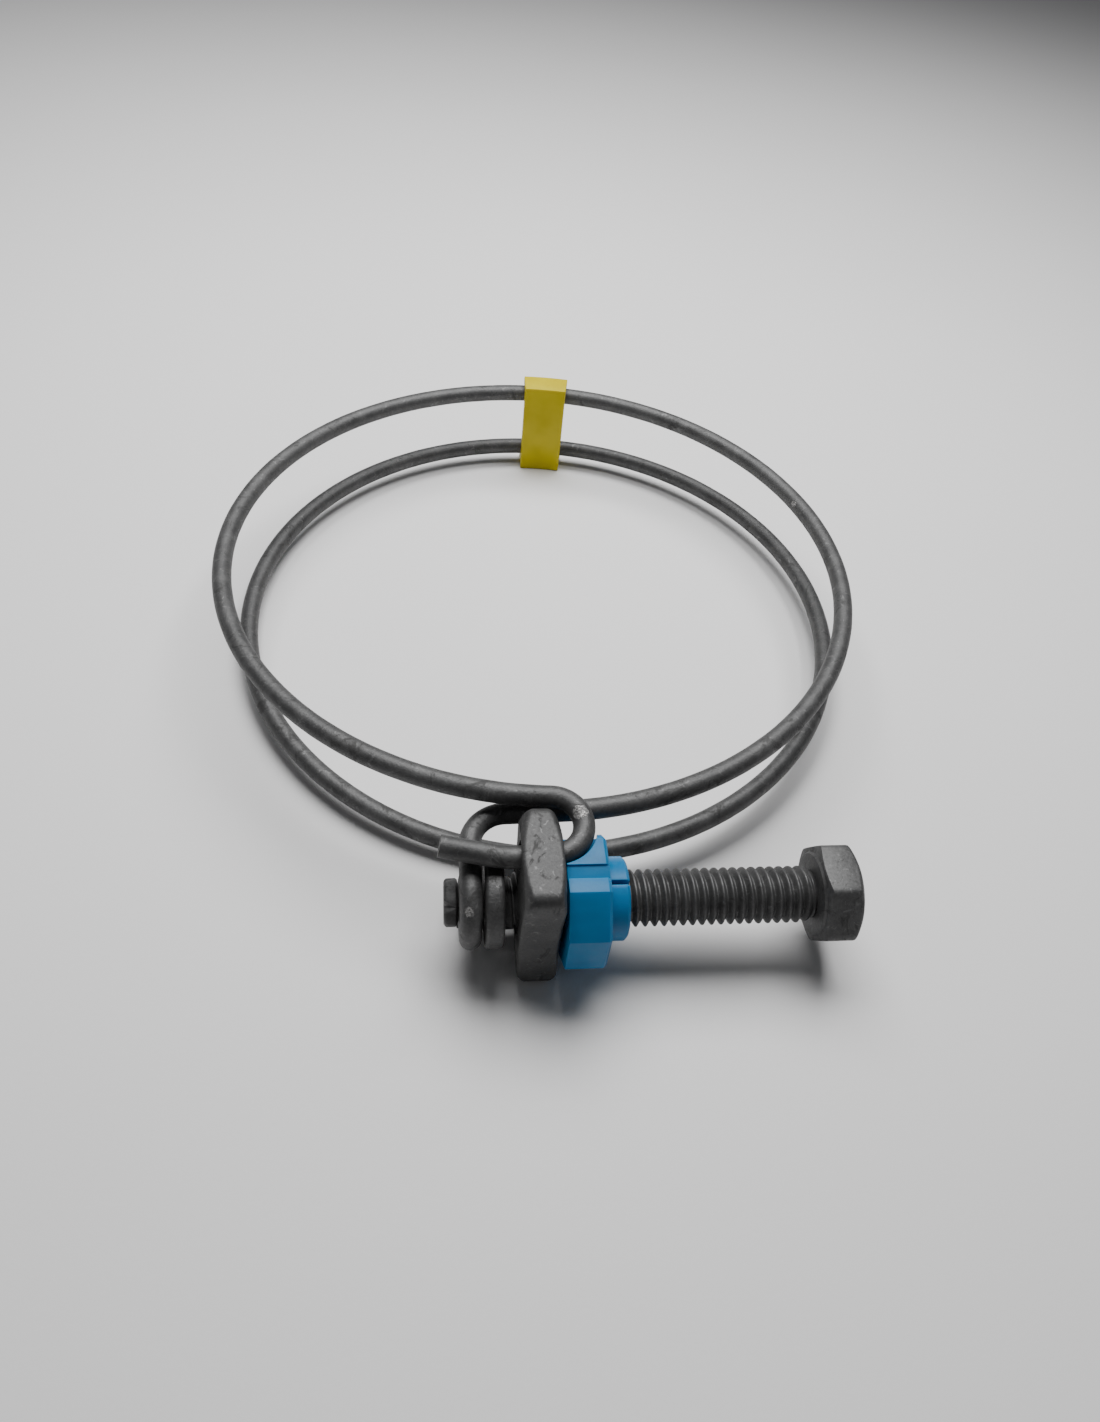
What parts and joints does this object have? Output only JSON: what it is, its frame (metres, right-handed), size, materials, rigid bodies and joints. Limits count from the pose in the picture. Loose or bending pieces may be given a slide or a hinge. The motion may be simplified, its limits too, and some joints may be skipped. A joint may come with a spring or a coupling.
{
  "type": "hose clamp",
  "caption": "Double-wire hose clamp: a bent wire hoop closed by a hex screw through a nut plate, with a split nylon spacer, a thrust washer and a wire clip.",
  "frame": {"origin": "centre of the hoop, midway between its two rings", "axes": "+Z along the hoop's axis, +X along the screw towards its head, -Y from the hoop's centre to the screw"},
  "size_m": [0.0811, 0.0944, 0.0166],
  "materials": {
    "coated_wire": "dull zinc flake coating, lightly scuffed",
    "coated_plate": "dull zinc flake coating",
    "coated_screw": "dull zinc flake coating, rolled thread",
    "coated_washer": "dull zinc flake coating",
    "blue_nylon": "moulded nylon, slightly translucent",
    "yellow_plastic": "moulded plastic, satin"
  },
  "bodies": {
    "root": {"hoop_wire": "coated_wire", "bridge_nut": "coated_plate", "nylon_spacer": "blue_nylon"},
    "washer": {"thrust_washer": "coated_washer"},
    "screw": {"screw": "coated_screw"},
    "clip": {"wire_clip": "yellow_plastic"}
  },
  "joints": [
    {"name": "screw_advance", "type": "slide", "parent": "root", "child": "washer", "axis": [-1, 0, 0], "range_m": [-0.0013, 0.0185], "deforming": ["hoop_wire"]},
    {"name": "screw_turn", "type": "hinge", "parent": "washer", "child": "screw", "pos_m": [0, -0.0475, 0], "axis": [-1, 0, 0], "range_deg": [-475, 6670]},
    {"name": "clip_slide", "type": "hinge", "parent": "root", "child": "clip", "pos_m": [0, 0, 0], "axis": [0, 0, 1], "range_deg": [-20, 8]}
  ],
  "couplings": [
    {"joint": "screw_turn", "follows": "screw_advance", "rad_per_m": 6283.2}
  ]
}
